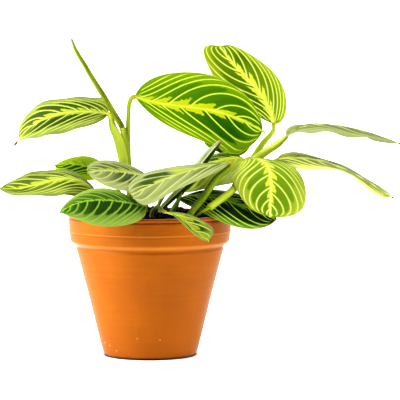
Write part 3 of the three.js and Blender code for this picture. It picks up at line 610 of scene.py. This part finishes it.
# For each leaf: the stations of its rib, the way it faces and its width. Then for each half, as
# seen from the stalk: fold and curl in degrees, lean towards the tip and share of the half width,
# and the weight of the patches, from base to tip (below 0 they are lime); the weight is partly the
# leaf's own blotching and partly painted shade, heavier on halves that lie in shadow. Then the wave
# of the margin, the count, slant and sweep of the side veins, the outline and the look.
LEAVES = {
    "high_left": dict(
        rib=[(-34, 14, 191.3), (-58, 17, 193), (-83, 22, 188), (-106, 27, 171)],
        face=[(0.2, -0.6, 1), (0, -0.6, 1), (-0.5, -0.35, 0.9)], width=50,
        left=dict(fold=[0, 12], curl=-12, lean=0.1, share=[0.65, 1.16, 1.25, 1.2],
                  patch=[0.5, 1, 1.2, 1, 0.4]),
        right=dict(fold=[2, 12], share=[1.7, 0.9, 1.05, 1.6], patch=[0.6, 1, 1, 1, 1, 0.6]),
        wave=(0.7, 3, 2.15), base_round=0.3, tip_round=0.5, tip=6, look="soft",
    ),
    "big_top": dict(
        rib=[(-12, 8, 205), (21, 15, 198), (53, 22, 193), (90, 30, 177)],
        face=[(0, -0.9, 0.5), (0, -0.9, 0.5), (0.2, -0.9, 0.3)], width=59,
        left=dict(curl=-12, lean=-0.15, share=[1.24, 1.17, 1.15, 1.15],
                  patch=[0.1, 0.3, 0.5, 0.55, 0.7, 0.5]),
        right=dict(curl=-10, lean=[0.9, 0.4], share=[1.03, 1.06, 1.15, 1.1],
                   patch=[0.1, 0.2, 0.6, 1, 1, 0.3]),
        veins=6.5, widest=0.55, base_round=0.62, tip=2, look="bright",
    ),
    "back_mid": dict(
        rib=[(60, 30, 158), (62, 34, 171), (63, 38, 186), (66, 40, 197)],
        face=[(0, -0.9, 0.3)] * 3, width=40, widest=0.35, base_round=0.45, look="shaded",
    ),
    "top_right": dict(
        rib=[(100, 50, 182), (90, 58, 206), (73, 67, 225), (56.5, 76, 245.5)],
        face=[(0.5, -0.9, 0), (0.3, -0.9, 0.1), (0, -0.8, 0.4)], width=51,
        left=dict(fold=[8, 16], curl=10, lean=[0.25, 0.62], share=[2.1, 1.4, 0.95, 1.2],
                  patch=[0.8, 0.9, 0.7, 0.4]),
        right=dict(fold=-10, curl=-20, share=[1.0, 1.04, 0.94, 0.97],
                   patch=[0.1, 0.3, 0.4, 0.6, 1, 0.3]),
        veins=6.5, slant=0.42, sweep=0.3, base_round=0.42, tip_round=0.42, look="spring",
    ),
    "far_right": dict(
        rib=[(109, 14, 173), (132, 8, 183), (162, 2, 180.5), (196, -6, 169.5)],
        face=[(0, 0, 1), (0, 0, 1), (0.3, 0, 1)], width=40,
        left=dict(fold=[36, 2, -12, -25], patch=[0.5, 0.5]),
        right=dict(fold=[0, -10, -14, -8], curl=-12, patch=[0.6, 0.3]),
        wave=(1.2, 3, 0), base_round=0.14, tip=3, look="grey",
    ),
    "low_right": dict(
        rib=[(101.5, 10, 155), (133, 0, 155.2), (160, -10, 145.1), (190, -20, 127.5)],
        face=[(0, -0.45, 1), (0.2, -0.1, 1), (0.5, -0.1, 1)], width=46,
        left=dict(fold=[0, -8, -3, -2], curl=0, share=[1.0, 1.1, 1.25, 1.5],
                  patch=[1.2, 1.2, 0.8]),
        right=dict(fold=[-20, -9, 5, -20], lean=-0.12, share=[0.4, 0.95, 1.14, 1.15]),
        wave=(0.8, 2, 0), base_round=0.34, tip_round=0.48, tip=2, look="straw",
    ),
    "front_right": dict(
        rib=[(79, 0, 156), (93, -22, 151), (95, -36, 134), (94, -42, 113)],
        face=[(-0.1, -0.5, 1), (0, -0.9, 0.4), (0, -1, -0.1)], width=60,
        left=dict(fold=[-25, 0], curl=-20, lean=0.12, share=[0.98, 0.94, 1.03, 1.13],
                  patch=[0, 0.2, 0.4, 0.7, 0.8, 0.6]),
        right=dict(fold=[22, 0], curl=-20, lean=[-0.05, -0.25], share=1.04,
                   patch=[0, 0.3, 0.7, 0.9, 0.8]),
        veins=7.5, base_round=0.45, tip_round=0.42, look="lime",
    ),
    "mid_right": dict(
        rib=[(76, 12, 155), (65, 8, 156), (47, 3, 150), (27, -1, 130)],
        face=[(0, -0.6, 1), (0, -0.6, 1), (-0.6, -0.6, 0.6)], width=48,
        left=dict(fold=-25, curl=-20, share=[1.0, 0.9, 0.85, 0.85],
                  patch=[0, 0, 0, -0.6, -1.5]),
        right=dict(fold=-15, patch=[1.5, 1.5, 1.5, -1]),
        base_round=0.7, tip=2, look="banded",
    ),
    "centre": dict(
        rib=[(63, -20, 154), (37, -31, 150), (12, -43, 142), (-13, -55, 131)],
        face=[(0, -0.3, 1), (-0.1, -0.4, 1), (-0.2, -0.55, 1)], width=46,
        left=dict(fold=[10, -8], lean=0.22, share=[1.05, 0.97, 0.84, 1.6],
                  patch=[0.4, 0.5, 0.4, 0.2, 0, 0, 0.2, 0.2]),
        right=dict(fold=[-14, 4], curl=-6, share=[1.0, 1.0, 1.08, 1.1],
                   patch=[0.3, 0.5, 0.4, 0.2, -0.6, -1, 1.3, 1.3, 1.3, 0.5, 0]),
        veins=4.8, widest=0.6, base_round=0.6, tip_round=0.52, look="grey",
    ),
    "pale_left": dict(
        rib=[(-1, -9, 142), (-15, -15, 146), (-32, -22, 148), (-48, -28, 147)],
        face=[(0, -0.3, 1), (0, -0.4, 1), (0, -0.5, 1)], width=46,
        left=dict(lean=0.1, share=[1.6, 1.5, 1.42, 1.3], patch=[0.9, 1.2, 1, 0.2, 0]),
        right=dict(fold=5, share=0.93, patch=[0.8, 0.8, 0.7, 0.7, 0.4]),
        widest=0.44, base_round=0.45, look="grey",
    ),
    "far_left": dict(
        rib=[(-42, -10, 129), (-66, -6, 141), (-92, -2, 135), (-119, 4, 132.5)],
        face=[(0.2, -0.5, 1), (0, -0.45, 1), (-0.1, -0.2, 1)], width=44,
        left=dict(fold=[-20, 14], curl=0, lean=0.1, share=[1.4, 1.1, 1.0, 1.05],
                  patch=[0.6, 0.9, 0.5, 0.8, 0.3]),
        right=dict(fold=[-30, 28], lean=-0.1, share=[1.0, 1.03, 1.13, 1.2],
                   patch=[0.9, 0.9, 0.7, 0.8, 0.6]),
        wave=(0.8, 2.5, 3.1), widest=0.54, tip_round=0.55, tip=2, look="soft",
    ),
    "back_left": dict(
        rib=[(-34, 30, 143), (-51, 32, 148), (-64, 35, 150), (-77.5, 39, 149)],
        face=[(0, -0.5, 1)] * 3, width=42,
        left=dict(fold=5, curl=-20),
        right=dict(fold=-5, share=1.08, patch=[0.15, 0.15]), look="plain",
    ),
    "rim_left": dict(
        rib=[(-3, -50, 122), (-23, -66, 127), (-45, -76, 128), (-65.5, -84, 120)],
        face=[(0, -0.6, 1), (0, -0.6, 1), (-0.3, -0.6, 1)], width=48,
        left=dict(fold=[-10, -20], curl=-22, patch=[0.6, 1, 1, 1, 0.8, 0.3]),
        right=dict(fold=[8, -22], patch=[0.7, 0.6, 0.5, 0.2]),
        veins=9.5, slant=0.12, sweep=0.3, base_round=0.55, look="deep",
    ),
    "rim_front": dict(
        rib=[(13, -60, 118), (25, -72, 114), (35, -78, 106), (46, -80, 98)],
        face=[(0.3, -0.6, 0.8), (0.3, -0.7, 0.7), (0.4, -0.8, 0.5)], width=27,
        left=dict(lean=0.45, share=1.1, patch=[1.3, 1.3, 1.3, -1]),
        right=dict(fold=32, curl=0, lean=0.1, share=0.6, patch=[1.2, 1.3, 1, -1]),
        veins=4.5, widest=0.6, base_round=0.7, tip=2, look="soft",
    ),
    "rim_right": dict(
        rib=[(24, -16.8, 125.8), (47, -23, 127.5), (75, -27, 120), (99, -31, 110)],
        face=[(0, -0.3, 1), (0, -0.45, 1), (0.2, -0.5, 1)], width=56,
        left=dict(fold=-9),
        right=dict(fold=-4, curl=-15, lean=0.15, share=[0.6, 0.86, 0.95, 0.9]),
        base_round=0.4, look="dark",
    ),
}


def along_stations(stations, t):
    """The smooth curve through stations at equal steps from base to tip, at the shares t."""
    stations = np.asarray(stations, float)
    if stations.ndim == 0:
        return np.full(len(t), float(stations))
    last = len(stations) - 1
    weights = np.ones((len(t), last + 1))
    for i in range(last + 1):
        for j in range(last + 1):
            if i != j:
                weights[:, i] *= (t * last - j) / (i - j)
    return weights @ stations


def half_width(leaf, t):
    """Share of the blade's width along the rib: 0 at the base, 1 where widest, 0 at the tip."""
    widest = leaf.get("widest", 0.5)
    near = np.clip(1 - (1 - t / widest) ** 2, 0, 1) ** leaf.get("base_round", 0.5)
    far = np.clip(1 - ((t - widest) / (1 - widest)) ** 2, 0, 1) ** leaf.get("tip_round", 0.62)
    return np.where(t < widest, near, far)


def rib_length(leaf):
    return np.linalg.norm(np.diff(leaf["rib"], axis=0), axis=1).sum()


def tip_end(leaf):
    """The share of the rib's length at which the thin point past the blade ends."""
    return 1 + leaf.get("tip", 1.0) / rib_length(leaf)


def blade_sheet(leaf, t, w):
    """Middle surface of a blade: places and upward normals for shares t along and w across.
    Past the blade's end, from t of 1, the rib runs on alone as a thin point."""
    step = 1e-3
    end = tip_end(leaf)
    rib = along_stations(leaf["rib"], t)
    before = along_stations(leaf["rib"], np.maximum(t - step, 0))
    tangent = unit(along_stations(leaf["rib"], t + step) - before)
    face = along_stations(leaf["face"], t)
    face = unit(face - (face * tangent).sum(1, keepdims=True) * tangent)
    leftward = np.cross(face, tangent)
    points, normals = np.zeros((len(t), len(w), 3)), np.zeros((len(t), len(w), 3))
    for sign, hand in ((1, "left"), (-1, "right")):
        side = {**PLAIN_SIDE, **leaf.get(hand, {})}
        columns = np.where(w > 0 if sign > 0 else w <= 0)[0]
        reach = np.abs(w[columns])[None, :]
        least = LEAST_HALF_WIDTH * np.clip((end - t) / (end - 1), 0.4, 1)
        half = leaf["width"] / 2 * half_width(leaf, t) * along_stations(side["share"], t)
        half = np.maximum(half, least)[:, None]
        fold = np.radians(along_stations(side["fold"], t))[:, None]
        curl = math.radians(side["curl"]) or 1e-4
        slope = fold + curl * reach
        across = (np.sin(slope) - np.sin(fold)) / curl * half
        swell, cycles, phase = leaf.get("wave", (0, 3, 0))
        ends = np.clip(4 * np.minimum(t, 1 - t), 0, 1)[:, None]
        rise = (np.cos(fold) - np.cos(slope)) / curl * half
        wave = np.sin(math.tau * cycles * t[:, None] + phase + 1.3 * sign)
        rise = rise + swell * wave * reach ** 2.5 * ends
        lean = along_stations(side["lean"], t)[:, None] * half * reach
        points[:, columns] = (
            rib[:, None] + leftward[:, None] * (sign * across)[..., None]
            + face[:, None] * rise[..., None] + tangent[:, None] * lean[..., None]
        )
        normals[:, columns] = (
            face[:, None] * np.cos(slope)[..., None]
            - leftward[:, None] * (sign * np.sin(slope))[..., None]
        )
    return points, normals


def vein_count(leaf, t, w):
    """How many side veins lie between the base and a place; whole numbers fall on the veins.
    A vein leaves the rib at a slant and bends more and more towards the tip, and it leans on
    with its half of the blade. The veins crowd at both ends of the rib."""
    reach = np.abs(w)[None, :]
    root = t[:, None] - leaf.get("slant", 0.28) * reach - leaf.get("sweep", 0.34) * reach ** 2.3
    half = leaf["width"] / 2 * half_width(leaf, t) / rib_length(leaf)
    for hand, columns in (("left", w > 0), ("right", w <= 0)):
        lean = along_stations(leaf.get(hand, PLAIN_SIDE).get("lean", 0.0), t)
        root[:, columns] += (lean * half)[:, None] * reach[:, columns]
    return leaf.get("veins", 7.0) * (root + 0.045 * np.sin(math.tau * root))


def vein_spacing(points, veins):
    """Millimetres from one side vein to the next, at each place of the sheet."""
    along = np.gradient(points, axis=0)
    across = np.gradient(points, axis=1)
    aa, ab, bb = (along * along).sum(-1), (along * across).sum(-1), (across * across).sum(-1)
    a, b = np.gradient(veins, axis=0), np.gradient(veins, axis=1)
    steepness = (bb * a * a - 2 * ab * a * b + aa * b * b) / np.maximum(aa * bb - ab * ab, 1e-6)
    return np.clip(1 / np.sqrt(np.maximum(steepness, 1e-6)), 1.0, 30.0)


def patch_weight(leaf, hand, t):
    """How dark the patches of one half are, from the base to the tip, partly the leaf's own
    blotching and partly painted shade; below 0 they are lime.
    """
    weights = leaf.get(hand, {}).get("patch", [1, 1])
    return np.interp(t, np.linspace(0, 1, len(weights)), weights)


def add_leaf(name, leaf, upper, under):
    t = 0.5 - 0.5 * np.cos(np.linspace(0, math.pi, LEAF_ROWS + 1))
    t = np.concatenate([t, np.linspace(1, tip_end(leaf), 6)[1:]])
    inner = np.concatenate([[0.02, 0.05], np.linspace(0.09, 0.93, 18), [0.965, 0.985, 1.0]])
    w = np.concatenate([-inner[::-1], [0.0], inner])
    middle, normal = blade_sheet(leaf, t, w)
    veins = vein_count(leaf, t, w)
    spacing = vein_spacing(middle, veins)
    veins = veins + np.where(w > 0, 0.0, RIGHT_VEINS_LAG)[None, :]
    reach = np.abs(w)[None, :]
    half = leaf["width"] / 2 * half_width(leaf, t)[:, None]
    quilt = QUILT_HEIGHT * np.cos(math.tau * (veins - 0.5))
    quilt = quilt * np.clip(6 * reach, 0, 1) * (1 - reach ** 6)
    quilt = quilt * np.clip(half / 12, 0, 1) * np.clip(spacing / 5, 0, 1)
    rib_groove = -RIB_GROOVE * np.exp(-(reach * half / 1.1) ** 2)
    rib_ridge = RIB_RIDGE * np.exp(-(reach * half / 0.8) ** 2) * (1 - 0.6 * t[:, None])
    past = np.clip((t - 1) / (t[-1] - 1), 0, 1)[:, None]
    thick = LEAF_THICKNESS * (1 - 0.55 * reach ** 8) + POINT_THICKNESS * np.clip(3 * past, 0, 1)
    edge = np.zeros((len(t), len(w)), bool)
    edge[[0, -1]] = True
    edge[:, [0, -1]] = True
    top = middle + normal * np.where(edge, 0, thick / 2 + quilt + rib_groove)[..., None]
    low = middle + normal * np.where(edge, 0, -thick / 2 + quilt - rib_ridge)[..., None]
    rows, columns = len(t), len(w)
    number = np.arange(rows * columns).reshape(rows, columns)
    inside = ~edge
    low_number = number.copy()
    low_number[inside] = rows * columns + np.arange(inside.sum())
    points = np.concatenate([top.reshape(-1, 3), low[inside]])
    length = np.minimum(t, 1)[:, None] + 0.05 * past
    place = np.stack([length + 0 * w[None, :], w[None, :] + 0 * t[:, None], veins], axis=-1)
    left, right = (patch_weight(leaf, hand, t)[:, None] for hand in ("left", "right"))
    patches = np.where(w[None, :] > 0, left, right)
    gauge = np.stack([reach * half, spacing, patches], axis=-1)
    faces = []
    for i in range(rows - 1):
        for j in range(columns - 1):
            turned = ((i, j), (i, j + 1), (i + 1, j + 1), (i + 1, j))
            faces.append(tuple(int(number[k]) for k in turned))
            faces.append(tuple(int(low_number[turned[k]]) for k in (0, 3, 2, 1)))
    make_piece(
        f"leaf_blade_{name}", points, faces, [upper, under], f"leaf_{name}",
        LOOKS[leaf["look"]]["slot"], kinds=[0, 1] * (len(faces) // 2),
        place=np.concatenate([place.reshape(-1, 3), place[inside]]),
        gauge=np.concatenate([gauge.reshape(-1, 3), gauge[inside]]),
    )


# For each look: its name and slot, then the colours of the patches, the green, the outer green, the
# veins, the zone by the rib and the underside. Then how far out the patches and the veins reach, as
# shares of the half blade, and the half widths in millimetres of the zone by the rib, of the teeth
# on it and of the veins. Last comes the shine of the upper skin. The looks hold the leaves' own
# colours, and some also hold painted light: grey is paled with painted sheen for leaves seen at a
# grazing angle, and dark and shaded are darkened copies with painted shade for leaves that lie in
# shadow.
LOOK_PARTS = (
    "name", "slot", "deep", "green", "outer", "vein", "rib", "under",
    "patch_out", "vein_out", "rib_mm", "teeth_mm", "vein_mm", "shine",
)
LOOK_ROWS = (
    ("bright", "leaf_bright", (0.016, 0.11, 0.001), (0.13, 0.29, 0.001), (0.19, 0.32, 0.001),
     (0.66, 0.74, 0.1), (0.49, 0.545, 0.01), (0.36, 0.48, 0.1),
     0.75, 1.0, 1.9, 4.2, 0.5, 0.06),
    ("lime", "leaf_bright", (0.1, 0.21, 0.003), (0.25, 0.37, 0.01), (0.38, 0.45, 0.045),
     (0.68, 0.74, 0.22), (0.58, 0.63, 0.06), (0.42, 0.52, 0.16),
     0.7, 1.0, 1.2, 3.8, 0.58, 0.08),
    ("spring", "leaf_bright", (0.055, 0.13, 0.001), (0.2, 0.31, 0.004), (0.3, 0.38, 0.01),
     (0.66, 0.72, 0.16), (0.62, 0.68, 0.06), (0.42, 0.52, 0.16),
     0.75, 1.0, 1.2, 4.0, 0.58, 0.08),
    ("soft", "leaf_mid", (0.035, 0.07, 0.008), (0.27, 0.34, 0.035), (0.2, 0.26, 0.07),
     (0.55, 0.61, 0.12), (0.36, 0.43, 0.035), (0.42, 0.5, 0.2),
     0.74, 0.92, 2.2, 3.2, 0.45, 0.08),
    ("banded", "leaf_dark", (0.025, 0.07, 0.006), (0.48, 0.56, 0.11), (0.5, 0.56, 0.24),
     (0.6, 0.7, 0.08), (0.42, 0.5, 0.03), (0.42, 0.5, 0.2),
     0.8, 0.95, 1.8, 2.6, 0.48, 0.08),
    ("straw", "leaf_pale", (0.18, 0.22, 0.05), (0.52, 0.59, 0.11), (0.6, 0.65, 0.2),
     (0.66, 0.7, 0.22), (0.55, 0.6, 0.07), (0.4, 0.45, 0.2),
     0.8, 0.97, 1.6, 2.8, 0.55, 0.08),
    ("plain", "leaf_bright", (0.02, 0.1, 0.002), (0.34, 0.49, 0.006), (0.37, 0.51, 0.012),
     (0.4, 0.55, 0.03), (0.48, 0.56, 0.01), (0.36, 0.48, 0.1),
     0.8, 0.9, 0.7, 1.0, 0.4, 0.02),
    # Painted sheen: paled grey-green colours for leaves seen at a grazing angle.
    ("grey", "leaf_pale", (0.045, 0.08, 0.006), (0.27, 0.31, 0.11), (0.32, 0.36, 0.15),
     (0.5, 0.54, 0.21), (0.36, 0.42, 0.06), (0.3, 0.33, 0.2),
     0.72, 0.9, 1.2, 2.8, 0.45, 0.08),
    ("deep", "leaf_mid", (0.008, 0.045, 0.002), (0.09, 0.2, 0.01), (0.29, 0.39, 0.09),
     (0.34, 0.5, 0.08), (0.2, 0.36, 0.02), (0.3, 0.4, 0.12),
     0.68, 1.0, 0.5, 1.2, 0.32, 0.03),
    # Painted shade: darkened colours for a leaf that lies deep in the shadow of the others.
    ("dark", "leaf_dark", (0.004, 0.016, 0.001), (0.05, 0.15, 0.003), (0.14, 0.28, 0.01),
     (0.62, 0.72, 0.16), (0.2, 0.4, 0.008), (0.25, 0.35, 0.1),
     0.9, 1.0, 1.5, 5.2, 0.42, 0.04),
    # Painted shade: darkened colours for a leaf that lies in shade behind the others.
    ("shaded", "leaf_dark", (0.012, 0.06, 0.002), (0.08, 0.2, 0.003), (0.22, 0.38, 0.01),
     (0.66, 0.75, 0.12), (0.5, 0.6, 0.015), (0.38, 0.44, 0.2),
     0.8, 1.0, 1.4, 2.6, 0.5, 0.06),
)
LOOKS = {row[0]: dict(zip(LOOK_PARTS, row)) for row in LOOK_ROWS}
TIP_BROWN = (0.2, 0.1, 0.02)


def leaf_places(skin):
    """What a leaf skin is drawn from: the share along, the millimetres off the rib and off the
    nearest vein (a little more where the veins crowd), the place, the share across, the count
    of veins, how far on it is from one vein to the next, and the weight of the patches."""
    along, across, veins = skin.stored("place")
    off_rib, spacing, weight = skin.stored("gauge")
    reach = skin.math("ABSOLUTE", across)
    between = skin.math("FRACT", skin.math("ADD", veins, 10.0))
    from_middle = skin.math("ABSOLUTE", skin.math("SUBTRACT", between, 0.5))
    off_vein = skin.times(skin.math("SUBTRACT", 0.5, from_middle), spacing)
    off_vein = skin.math("DIVIDE", off_vein, skin.scaled(spacing, 1.5, 4.0, 0.5, 1.0))
    off_vein = skin.math("ADD", off_vein, skin.step(spacing, 2.2, 1.3))
    return along, off_rib, off_vein, skin.spot(), reach, veins, between, weight


def upper_skin(name, look):
    """Upper skin of a leaf, drawn from its place along, across and between the veins."""
    skin = Finish(f"leaf upper {name}", 0.42, look["shine"])
    along, off_rib, off_vein, spot, reach, veins, between, weight = leaf_places(skin)
    wander = skin.math("SUBTRACT", skin.grain(spot, 380.0, 4.0), 0.5)
    streaks = skin.streaks(skin.times(veins, 11.0), skin.times(reach, 2.5))
    # Out to the margin the green pales, with fine streaks that run with the veins.
    paling = skin.math("MULTIPLY_ADD", wander, 0.25, reach)
    streaked = skin.times(streaks, skin.step(reach, 0.1, 0.9), clamp=True)
    colour = skin.tint(streaked, look["green"], look["outer"])
    colour = skin.tint(skin.step(paling, 0.65, 1.0), colour, look["outer"])
    # A lens-shaped patch in the middle of each space, dark or here and there lime.
    end = skin.math("MULTIPLY_ADD", wander, 0.3, reach)
    within = skin.step(end, look["patch_out"] + 0.12, look["patch_out"] - 0.3)
    room = skin.times(off_vein, within)
    patch = skin.step(skin.math("MULTIPLY_ADD", wander, 1.8, room), 0.6, 1.2)
    patch = skin.times(patch, skin.math("ADD", streaks, 0.5), clamp=True)
    # Their weight per half is partly the leaf's own blotching and partly painted shade on halves
    # that lie in shadow.
    colour = skin.tint(skin.times(patch, weight, clamp=True), colour, look["deep"])
    lime = skin.times(patch, skin.times(weight, -1.0), clamp=True)
    colour = skin.tint(lime, colour, look["rib"])
    # Beside the rib lies a lime zone. Past each vein it swells into a lobe with a broken end.
    lobe = skin.times(skin.step(between, -0.1, 0.72), skin.step(between, 0.82, 0.74))
    taper = skin.times(skin.step(along, -0.2, 0.35), skin.step(along, 1.1, 0.5))
    zone_edge = skin.math("MULTIPLY_ADD", lobe, look["teeth_mm"], look["rib_mm"])
    nicks = skin.math("SUBTRACT", skin.grain(spot, 420.0, 2.0), 0.5)
    nicked = skin.times(skin.times(nicks, 0.8), zone_edge)
    zone_edge = skin.math("ADD", skin.math("MULTIPLY_ADD", wander, 5.0, zone_edge), nicked)
    zone_edge = skin.times(zone_edge, taper)
    zone = skin.step(skin.math("SUBTRACT", off_rib, zone_edge), 0.4, -0.4)
    colour = skin.tint(zone, colour, look["rib"])
    # Veins of even width fade out towards the margin and where they crowd at the base.
    vein_line = skin.step(off_vein, look["vein_mm"] + 0.3, look["vein_mm"] - 0.25)
    vein_line = skin.times(vein_line, skin.step(reach, look["vein_out"], look["vein_out"] - 0.15))
    vein_line = skin.times(vein_line, skin.step(veins, -2.7, -2.4))
    rib_line = skin.step(off_rib, 2.3 * look["vein_mm"], 0.7 * look["vein_mm"])
    vein_line = skin.math("MAXIMUM", vein_line, skin.times(rib_line, 0.7))
    colour = skin.tint(vein_line, colour, look["vein"])
    colour = skin.tint(skin.times(skin.grain(spot, 600.0), 0.12), colour, look["outer"])
    colour = skin.tint(skin.times(skin.step(reach, 0.965, 0.985), 0.5), colour, look["vein"])
    colour = skin.tint(skin.step(along, 1.01, 1.03), colour, TIP_BROWN)
    skin.drive("Base Color", colour)
    skin.drive("Roughness", skin.scaled(streaks, 0.0, 1.0, 0.36, 0.52))
    cells = skin.grain(spot, 1600.0, 2.0)
    height = skin.math("MULTIPLY_ADD", cells, 0.35, streaks)
    skin.relief(skin.math("SUBTRACT", height, skin.times(vein_line, 0.4)), 0.00018)
    return skin


def under_skin(name, look):
    """Paler underside of a leaf, with the veins showing as fine raised lines."""
    skin = Finish(f"leaf under {name}", 0.55, 0.08)
    along, off_rib, off_vein, spot = leaf_places(skin)[:4]
    cloud = skin.grain(spot, 120.0, 4.0)
    colour = skin.tint(skin.step(cloud, 0.3, 0.75), look["under"], look["green"])
    line = skin.step(off_vein, 0.8, 0.2)
    rib = skin.step(off_rib, 1.3, 0.5)
    lines = skin.math("MAXIMUM", skin.times(line, 0.6), rib)
    colour = skin.tint(lines, colour, look["vein"])
    colour = skin.tint(skin.step(along, 1.01, 1.03), colour, TIP_BROWN)
    skin.drive("Base Color", colour)
    skin.relief(skin.math("ADD", lines, skin.times(cloud, 0.4)), 0.00025)
    return skin


skins = {name: (upper_skin(name, look), under_skin(name, look)) for name, look in LOOKS.items()}
for leaf_name, leaf_shape in LEAVES.items():
    add_leaf(leaf_name, leaf_shape, *skins[leaf_shape["look"]])


def stalk_to_leaf(path, leaf_name):
    """The path of a stalk, on into the base of its leaf along the rib."""
    leaf = LEAVES[leaf_name]
    base, ahead = along_stations(leaf["rib"], np.array([0.0, 0.001]))
    direction = unit(unit(ahead - base) + unit(base - path[-1]))
    return [*path, tuple(base - JOINT_LENGTH * direction), tuple(base + 0.4 * direction)]


def add_shoot(name, stalks):
    points, faces, place = [], [], []
    for path, radii, tone, leaf_name in stalks:
        whole = stalk_to_leaf(path, leaf_name) if leaf_name else path
        body = stalk_body(whole, radii, tone, JOINT_SWELL if leaf_name else 0.0, len(points))
        points += list(body[0])
        faces += body[1]
        place += body[2]
    slot_name = "stalk_old" if name.startswith("old") else "stalk"
    make_piece(
        f"{name}_stalks", np.array(points), faces, [stalk_skin], name, slot_name, place=place
    )


for shoot_name, shoot_stalks in SHOOTS.items():
    add_shoot(shoot_name, shoot_stalks)

# ---- rolled leaves ----
# Two young leaves not yet open, each a thin blade rolled up on itself from one margin. The high
# one is still a tight spike in the left shoot; the low one stands in the soil, half open.
ROLL_TURNS = 1.35
ROLL_STEPS = 60
ROLL_ARC = 40
ROLL_TIGHTENING = 0.22
ROLL_SKIN = 0.16


def rolled_body(path, radii, open_share, up, tone):
    """A blade rolled round the path: a spiral section whose outer edge lies on the coil below."""
    line = smooth_line(path, ROLL_STEPS)
    side, upward = frames_along(line, up)
    along = np.linspace(0, 1, ROLL_STEPS + 1)
    radius = np.interp(along, np.linspace(0, 1, len(radii)), radii)[:, None]
    turn = np.linspace(0, math.tau * ROLL_TURNS * (1 - open_share), ROLL_ARC)
    coil = 1 - ROLL_TIGHTENING * turn / math.tau
    rings = []
    for skin in (0.0, -ROLL_SKIN):
        section = radius * (coil + skin)
        rings.append(
            line[:, None] + upward[:, None] * (section * np.cos(turn))[..., None]
            + side[:, None] * (section * np.sin(turn))[..., None]
        )
    outer, inner = rings
    loops = np.concatenate([outer, inner[:, ::-1]], axis=1)
    count = loops.shape[1]
    points = loops.reshape(-1, 3)
    across = np.concatenate([np.linspace(0, 1, ROLL_ARC), np.linspace(1, 0, ROLL_ARC) + 2])
    place = [(a, w, tone) for a in along for w in across]
    faces = tube_faces(ROLL_STEPS + 1, count, flip=True)
    for row in (0, ROLL_STEPS):
        start = row * count
        for j in range(ROLL_ARC - 1):
            quad = (start + j, start + j + 1, start + count - 2 - j, start + count - 1 - j)
            faces.append(quad if row == 0 else quad[::-1])
    return points, faces, place


def roll_finish():
    """Streaked skin. The tone runs from 0, grey with a cream margin, to 1, olive; the inside of
    the roll is green."""
    skin = Finish("rolled leaf", 0.5, 0.2)
    along, across, tone = skin.stored("place")
    streaks = skin.streaks(skin.times(across, 14.0), skin.times(along, 6.0))
    shade = skin.step(streaks, 0.35, 0.7)
    grey_side = skin.tint(shade, (0.16, 0.22, 0.09), (0.42, 0.48, 0.28))
    olive_side = skin.tint(shade, (0.14, 0.18, 0.003), (0.32, 0.37, 0.012))
    outside = skin.tint(tone, grey_side, olive_side)
    edge = skin.times(skin.step(across, 0.07, 0.03), skin.math("SUBTRACT", 1.0, tone))
    outside = skin.tint(edge, outside, (0.75, 0.76, 0.45))
    inside = skin.tint(shade, (0.12, 0.28, 0.01), (0.3, 0.48, 0.04))
    colour = skin.tint(skin.step(across, 1.4, 1.6), outside, inside)
    colour = skin.tint(skin.step(along, 0.9, 1.0), colour, (0.35, 0.3, 0.16))
    skin.drive("Base Color", colour)
    skin.relief(streaks, 0.0002)
    return skin


rolled_skin = roll_finish()
HIGH_SPIKE = [
    (-22, 11, 178), (-22.3, 11, 180.7), (-28.8, 8, 192), (-35.3, 5, 203.5), (-44.6, 2, 218.6),
    (-51.6, 1, 230.5), (-58.6, 0, 242.6), (-62, 0, 251),
]
LOW_ROLL = [(9, -20, 98), (9, -20, 116), (16, -17, 124), (31, -9, 138), (43, -3, 155), (56, 0, 170)]


def add_roll(name, node, slot_name, *shape):
    points, faces, place = rolled_body(*shape)
    make_piece(name, points, faces, [rolled_skin], node, slot_name, place=place)


add_roll(
    "rolled_spike", "rolled_leaf_high", "stalk",
    HIGH_SPIKE, (2.5, 2.7, 2.6, 2.5, 2.3, 2.1, 1.8, 1.1), 0.0, (0, -1, 0.3), 1.0,
)
add_roll(
    "half_open_leaf", "rolled_leaf_low", "leaf_pale",
    LOW_ROLL, (1.6, 2.2, 3.3, 5.0, 4.4, 1.9), 0.45, (0.1, -1, 0), 0.0,
)
